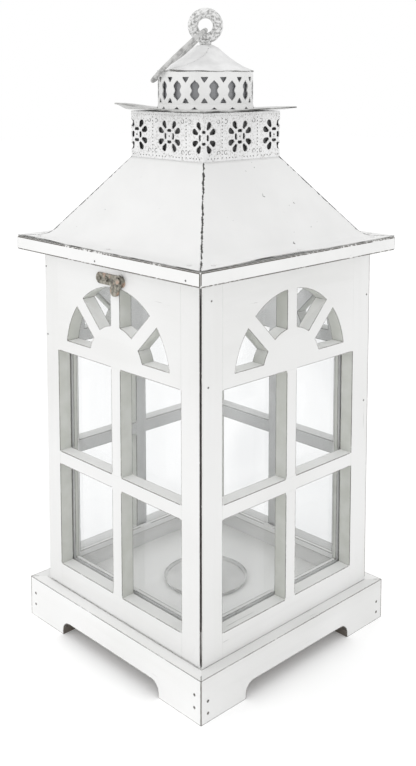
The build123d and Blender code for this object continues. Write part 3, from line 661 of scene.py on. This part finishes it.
# Cupola cone
coneShape = {
    "sheet": 0.9 * mm, "shellShare": 0.8, "rim": 42.6 * mm, "rimHeight": 504.0 * mm,
    "crown": 11.7 * mm, "crownHeight": 524.0 * mm, "bowOut": 0.54, "bowDown": 0.84,
    "lapOut": 0.55, "lapUp": 0.85,
    "seat": 7.0 * mm, "seatHeight": 526.5 * mm, "bore": 3.05 * mm, "bow": 1.9 * mm, "rows": 26, "around": 181,
    "lap": math.radians(9), "lapStart": math.radians(280), "lapLean": math.radians(-60), "lapRise": 0.5,
    "wave": 0.30 * mm,
}


def coneShell():
    # One sheet rolled into a cone: radius and height follow a hollow curve from the rim to
    # the crown, then a shoulder and a level seat. The angle runs a little past a full turn,
    # and the far end rides one sheet thickness outside the start, which makes the lap. The
    # lap leans round the cone as it climbs.
    shape = coneShape
    climb = np.linspace(0, 1, shape["rows"])
    radius = shape["rim"] + (shape["crown"] - shape["rim"]) * climb
    height = shape["rimHeight"] + (shape["crownHeight"] - shape["rimHeight"]) * climb
    hollow = shape["bow"] * 4 * climb * (1 - climb)
    radius, height = radius - shape["bowOut"] * hollow, height - shape["bowDown"] * hollow
    radius = np.concatenate([radius, [shape["seat"], shape["bore"]]])
    height = np.concatenate([height, [shape["seatHeight"], shape["seatHeight"]]])
    rise = np.concatenate([climb, [1.0, 1.0]])[:, None]
    turn = np.linspace(0, 2 * math.pi + shape["lap"], shape["around"])[None, :]
    fade = 1 - smoothStep(rise, 0.9, 1.0)
    angle = shape["lapStart"] - turn - shape["lapLean"] * rise
    over = shape["sheet"] * 1.15 * smoothStep(turn, 2 * math.pi - shape["lapRise"], 2 * math.pi) * fade
    wave = shape["wave"] * np.sin(9 * turn) * (1 - smoothStep(rise, 0.0, 0.25))
    r = radius[:, None] + shape["lapOut"] * over
    z = height[:, None] + shape["lapUp"] * over + wave * np.ones_like(r)
    points = np.stack([r * np.cos(angle), r * np.sin(angle), z], -1)
    faces = gridQuads(*r.shape)[:, ::-1]
    piece = makePiece("coneShell", points, faces, [conePaint, edgePaint], "lantern", "painted_sheet")
    thicken(piece, shape["sheet"] * shape["shellShare"])
    return piece


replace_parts(coneShell(), "cupola_cone")
print("cap plate and cone made")


# Pressed decoration on the collar
beadShape = {
    "pitch": 3.0 * mm, "underPitch": 3.8 * mm, "radius": 0.6 * mm, "height": 0.3 * mm, "segments": 8,
    "low": 431.2 * mm, "high": 466.4 * mm, "middle": 448.5 * mm, "flowers": 42.7 * mm,
    "curl": 2.0 * mm, "curlWire": 0.22 * mm, "halo": 16.6 * mm, "haloCount": 32, "topRow": (-44, 45, 2.75),
    "curlApart": 4.4 * mm, "nailScale": 1.6,
}


def studs(places, side, scale=1.0):
    # Low domes: two rings of points and a top for each place, closed underneath
    shape = beadShape
    turn = np.linspace(0, 2 * math.pi, shape["segments"], endpoint=False)
    cosine, sine = np.cos(turn), np.sin(turn)
    ringU = np.concatenate([cosine, 0.68 * cosine, [0.0]]) * shape["radius"] * scale
    ringZ = np.concatenate([sine, 0.68 * sine, [0.0]]) * shape["radius"] * scale
    rise = np.concatenate([0 * cosine - 0.3, 0 * cosine + 0.75, [1.0]]) * shape["height"]
    places = np.asarray(places)
    along = places[:, :1] + ringU[None, :]
    height = places[:, 1:] + ringZ[None, :]
    points = onSide(side, along, collarHalf + rise[None, :] + 0 * along, height).reshape(-1, 3)
    n = shape["segments"]
    near = np.arange(n)
    after = (near + 1) % n
    quads = np.stack([near, after, after + n, near + n], -1)
    caps = np.stack([near + n, after + n, np.full(n, 2 * n)], -1)
    faces = []
    for copy in range(len(places)):
        first = copy * (2 * n + 1)
        faces += (quads + first).tolist() + (caps + first).tolist() + [(near[::-1] + first).tolist()]
    return points, faces


def curls(places, side):
    # A round wire section carried along an open arc at each place, with closed ends
    shape = beadShape
    section = np.linspace(0, 2 * math.pi, 6, endpoint=False)
    points, faces, first = [], [], 0
    for u, z, startAngle in places:
        path = np.linspace(startAngle, startAngle + 1.5 * math.pi, 15)[:, None]
        reach = shape["curl"] * (1 - 0.35 * (path - startAngle) / (1.5 * math.pi))
        radius = reach + shape["curlWire"] * np.cos(section)[None, :]
        along, height = u + radius * np.cos(path), z + radius * np.sin(path)
        out = collarHalf + shape["curlWire"] * np.sin(section)[None, :] + 0 * along
        points.append(onSide(side, along, out, height).reshape(-1, 3))
        rows, columns = along.shape
        faces += (gridQuads(rows, columns, closed=True)[:, ::-1] + first).tolist()
        faces.append([first + i for i in range(columns)])
        faces.append([first + (rows - 1) * columns + i for i in range(columns)][::-1])
        first += rows * columns
    return np.concatenate(points), faces


def gather(parts):
    # Several pairs of points and faces as one pair
    points, faces, first = [], [], 0
    for somePoints, someFaces in parts:
        points.append(somePoints)
        faces += [[i + first for i in face] for face in someFaces]
        first += len(somePoints)
    return np.concatenate(points), faces


def alongStrip(distances, side):
    # Distances round the collar from its front right corner, as distances along one side,
    # for those that fall on it
    turn = ("right", "back", "left", "front").index(side)
    u = np.asarray(distances) - (2 * turn + 1) * collarHalf
    u = np.concatenate([u, u + 8 * collarHalf])
    return u[abs(u) < collarHalf - 1 * mm]


def collarBeading():
    # Between flowers stands a column of punched dots; under each flower's flanks lie four
    # more. Round each flower runs a ring of low beads, and a curl fills each corner.
    shape = beadShape
    pitch = shape["flowers"]
    flowers = pitch * np.arange(-2, 7)
    rows = np.arange(shape["low"], shape["high"], shape["pitch"])
    dark, pale = [], []
    for side in sideWays:
        seams = alongStrip(flowers[:-1] + pitch / 2, side)
        steps = (np.array([-1.5, -0.5, 0.5, 1.5]) * shape["underPitch"])[None, :]
        quarters = np.concatenate([flowers - pitch / 4, flowers + pitch / 4])[:, None]
        under = alongStrip((quarters + steps).ravel(), side)
        marks = [(u, z) for u in seams for z in rows] + [(u, shape["low"] - 0.2 * mm) for u in under]
        dark.append(studs(marks, side))
        dots = [(u, shape["high"]) for u in np.arange(*shape["topRow"]) * mm]
        turn = np.linspace(0, 2 * math.pi, shape["haloCount"], endpoint=False)
        for centre in flowers:
            around = centre + shape["halo"] * np.cos(turn)
            for distance, z in zip(around, shape["middle"] + shape["halo"] * np.sin(turn)):
                dots += [(u, z) for u in alongStrip([distance], side)]
        pale.append(studs(dots, side))
        levels = [(shape["low"] + 4.2 * mm, 0.4), (shape["high"] - 4.6 * mm, 3.5)]
        spots = [(u + way * shape["curlApart"], z, a + 0.6 * way)
                 for u in seams for way in (-1, 1) for z, a in levels]
        dark.append(curls(spots, side))
    # the punched dots and curls are painted dark for the shade in their pits
    makePiece("collarPunchMarks", *gather(dark), [pitShadePaint], "lantern", "painted_sheet")
    makePiece("collarBeading", *gather(pale), [collarPaint], "lantern", "painted_sheet")


collarBeading()
print("collar decoration made")

# Nail heads sunk in the paint: for each body, the side, then along, height and out in millimetres
nailHeads = {
    "lantern": [("front", -6.0, 348.6, 120.0), ("front", 104.0, 348.6, 120.0), ("right", -93.0, 329.0, 104.0),
                ("right", -96.5, 262.0, 104.0), ("right", 100.0, 305.0, 104.0), ("right", 98.0, 208.0, 104.0),
                ("left", -95.0, 322.0, 104.0), ("back", 95.0, 322.0, 104.0), ("back", -95.0, 120.0, 104.0)],
    "door": [("front", -98.0, 330.0, 104.0), ("front", -97.0, 268.0, 104.0)],
}


def nailDots(body):
    # One low dome per nail, all in one piece
    parts = []
    for side, along, height, out in nailHeads[body]:
        points, faces = studs([(along * mm, height * mm)], side, beadShape["nailScale"])
        outward = np.array(sideWays[side][0], float)
        parts.append((points + outward * (out * mm - collarHalf), faces))
    makePiece(body + "NailHeads", *gather(parts), [pitShadePaint], body, "steel_wire")


nailDots("lantern")
nailDots("door")

# Floor, light and camera
stageLook = {
    "floorHalf": 6.0, "floorColour": (0.97, 0.97, 0.97, 1), "floorGlow": 0.10, "worldGrey": 1.0,
    "key": {"place": (-1.5, -2.6, 1.9), "size": 2.2, "power": 11.0},
    "top": {"place": (0.2, -0.2, 2.6), "size": 2.4, "power": 4.0},
    "inner": {"place": (0.0, 0.0, 0.335), "size": 0.12, "power": 0.10},
}


def makeFloor():
    # A wide level square with a matte surface that glows a little
    half = stageLook["floorHalf"]
    mesh = bpy.data.meshes.new("floor")
    corners = [(-half, -half, 0), (half, -half, 0), (half, half, 0), (-half, half, 0)]
    mesh.from_pydata(corners, [], [(0, 1, 2, 3)])
    mat, tree, place = startMaterial("floorWhite")
    matte = addNode(tree, "BsdfDiffuse", {"Color": stageLook["floorColour"]}).outputs[0]
    glow = addNode(tree, "Emission", {"Strength": stageLook["floorGlow"]}).outputs[0]
    both = addNode(tree, "AddShader", {0: matte, 1: glow}).outputs[0]
    addNode(tree, "OutputMaterial", {"Surface": both})
    mesh.materials.append(mat)
    floor = bpy.data.objects.new("floor", mesh)
    bpy.context.scene.collection.objects.link(floor)


def makeLight(name):
    # A square area light turned towards the middle of the CAD box
    look = stageLook[name]
    data = bpy.data.lights.new(name, "AREA")
    data.shape, data.size, data.energy = "SQUARE", look["size"], look["power"]
    light = bpy.data.objects.new(name, data)
    middle = (cadBox[0] + cadBox[1]) / 2
    light.location = look["place"]
    light.visible_camera = False
    light.rotation_euler = (Vector(look["place"]) - middle).to_track_quat("Z", "Y").to_euler()
    bpy.context.scene.collection.objects.link(light)


makeFloor()
makeLight("key")
makeLight("top")
makeLight("inner")
world = bpy.data.worlds.new("studio")
world.use_nodes = True
world.node_tree.nodes["Background"].inputs["Color"].default_value = (stageLook["worldGrey"],) * 3 + (1,)
bpy.context.scene.world = world
bpy.context.scene.view_settings.view_transform = "Standard"

viewLook = {
    "place": (0.6474, -0.6187, 0.4999), "turn": math.radians(46.08), "dip": math.radians(5.90),
    "lens": 47.51, "sensor": 36.0, "shiftX": -0.0018, "shiftY": -0.265, "clipStart": 0.01,
}
cameraData = bpy.data.cameras.new("camera")
cameraData.lens, cameraData.sensor_width = viewLook["lens"], viewLook["sensor"]
cameraData.shift_x, cameraData.shift_y = viewLook["shiftX"], viewLook["shiftY"]
cameraData.clip_start = viewLook["clipStart"]
camera = bpy.data.objects.new("camera", cameraData)
camera.location = viewLook["place"]
turn, dip = viewLook["turn"], viewLook["dip"]
back = Vector((math.sin(turn) * math.cos(dip), -math.cos(turn) * math.cos(dip), math.sin(dip)))
camera.rotation_euler = (-back).to_track_quat("-Z", "Y").to_euler()
bpy.context.scene.collection.objects.link(camera)
bpy.context.scene.camera = camera
print("stage, light and camera set")
